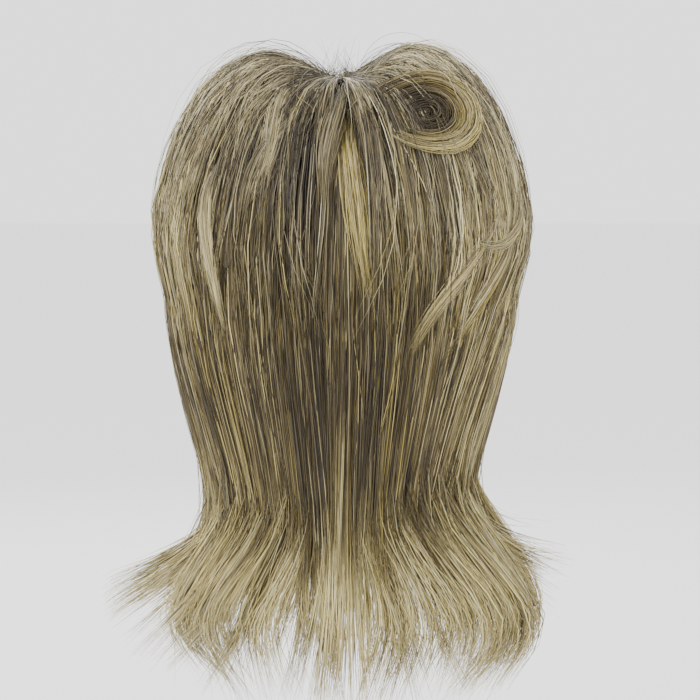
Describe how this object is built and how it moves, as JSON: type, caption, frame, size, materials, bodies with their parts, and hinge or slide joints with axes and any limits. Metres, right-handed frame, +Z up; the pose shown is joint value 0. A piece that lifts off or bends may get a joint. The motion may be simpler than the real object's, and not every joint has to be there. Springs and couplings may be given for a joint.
{
  "type": "mullet wig",
  "caption": "Shoulder-length mullet wig: teased lobes over the crown, straight back, ends flicked out at the nape, on a thin open cap.",
  "frame": {"origin": "the inside top of the cap, where it sits on the crown of the head", "axes": "+Z up through the crown, the face looks along -Y, the wearer's left is +X"},
  "size_m": [0.2578, 0.2494, 0.3736],
  "materials": {
    "cap": "fine stretch net, dark brown",
    "hair_ash": "synthetic hair fibre, ash brown with blonde lights, satin",
    "hair_blonde": "synthetic hair fibre, ash blonde, satin",
    "hair_light": "synthetic hair fibre, light golden blonde, satin"
  },
  "bodies": {
    "root": {"wig_cap": "cap", "back_layer": "hair_ash", "tail_left": "hair_blonde", "tail_middle": "hair_blonde", "tail_right": "hair_blonde", "side_layer_left": "hair_ash", "side_layer_right": "hair_ash", "crown_lobe_left": "hair_ash", "crown_lobe_right": "hair_ash", "fringe": "hair_blonde", "light_streak": "hair_light", "crown_curl": "hair_light"}
  },
  "joints": []
}
